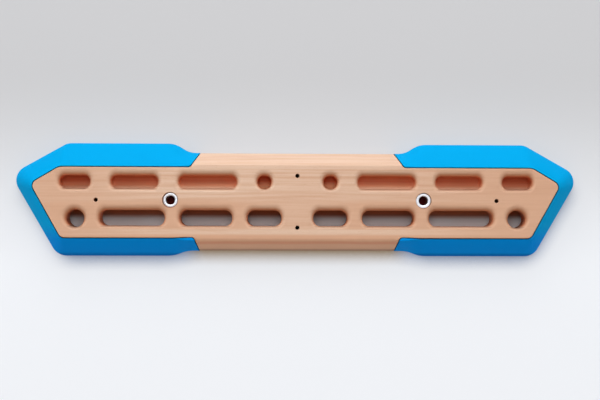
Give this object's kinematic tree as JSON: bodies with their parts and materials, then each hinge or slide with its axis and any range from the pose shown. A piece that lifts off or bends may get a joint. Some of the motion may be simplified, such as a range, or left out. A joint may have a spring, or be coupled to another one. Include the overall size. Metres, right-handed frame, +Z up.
{
  "type": "hangboard",
  "caption": "Wall-hung climbing training board: a beech body with finger pockets in two rows, and sloped resin grips round both ends.",
  "frame": {"origin": "middle of the back face, on the line of the two wall bolts", "axes": "X along the board, to the right as seen by the climber; Y into the wall, so the face looks to -Y; Z up"},
  "size_m": [0.76, 0.045, 0.1526],
  "materials": {
    "beech": "fine sanded, unlacquered",
    "resin": "fine cast texture",
    "steel": "bright turned",
    "screw_steel": "zinc plated"
  },
  "bodies": {
    "root": {"wood_board": "beech", "right_grip": "resin", "right_bush": "steel", "right_grip_screw_1": "screw_steel", "right_grip_screw_2": "screw_steel", "right_grip_screw_3": "screw_steel", "right_grip_screw_4": "screw_steel", "right_grip_screw_5": "screw_steel", "right_grip_screw_6": "screw_steel", "left_grip": "resin", "left_bush": "steel", "left_grip_screw_1": "screw_steel", "left_grip_screw_2": "screw_steel", "left_grip_screw_3": "screw_steel", "left_grip_screw_4": "screw_steel", "left_grip_screw_5": "screw_steel", "left_grip_screw_6": "screw_steel"}
  },
  "joints": []
}
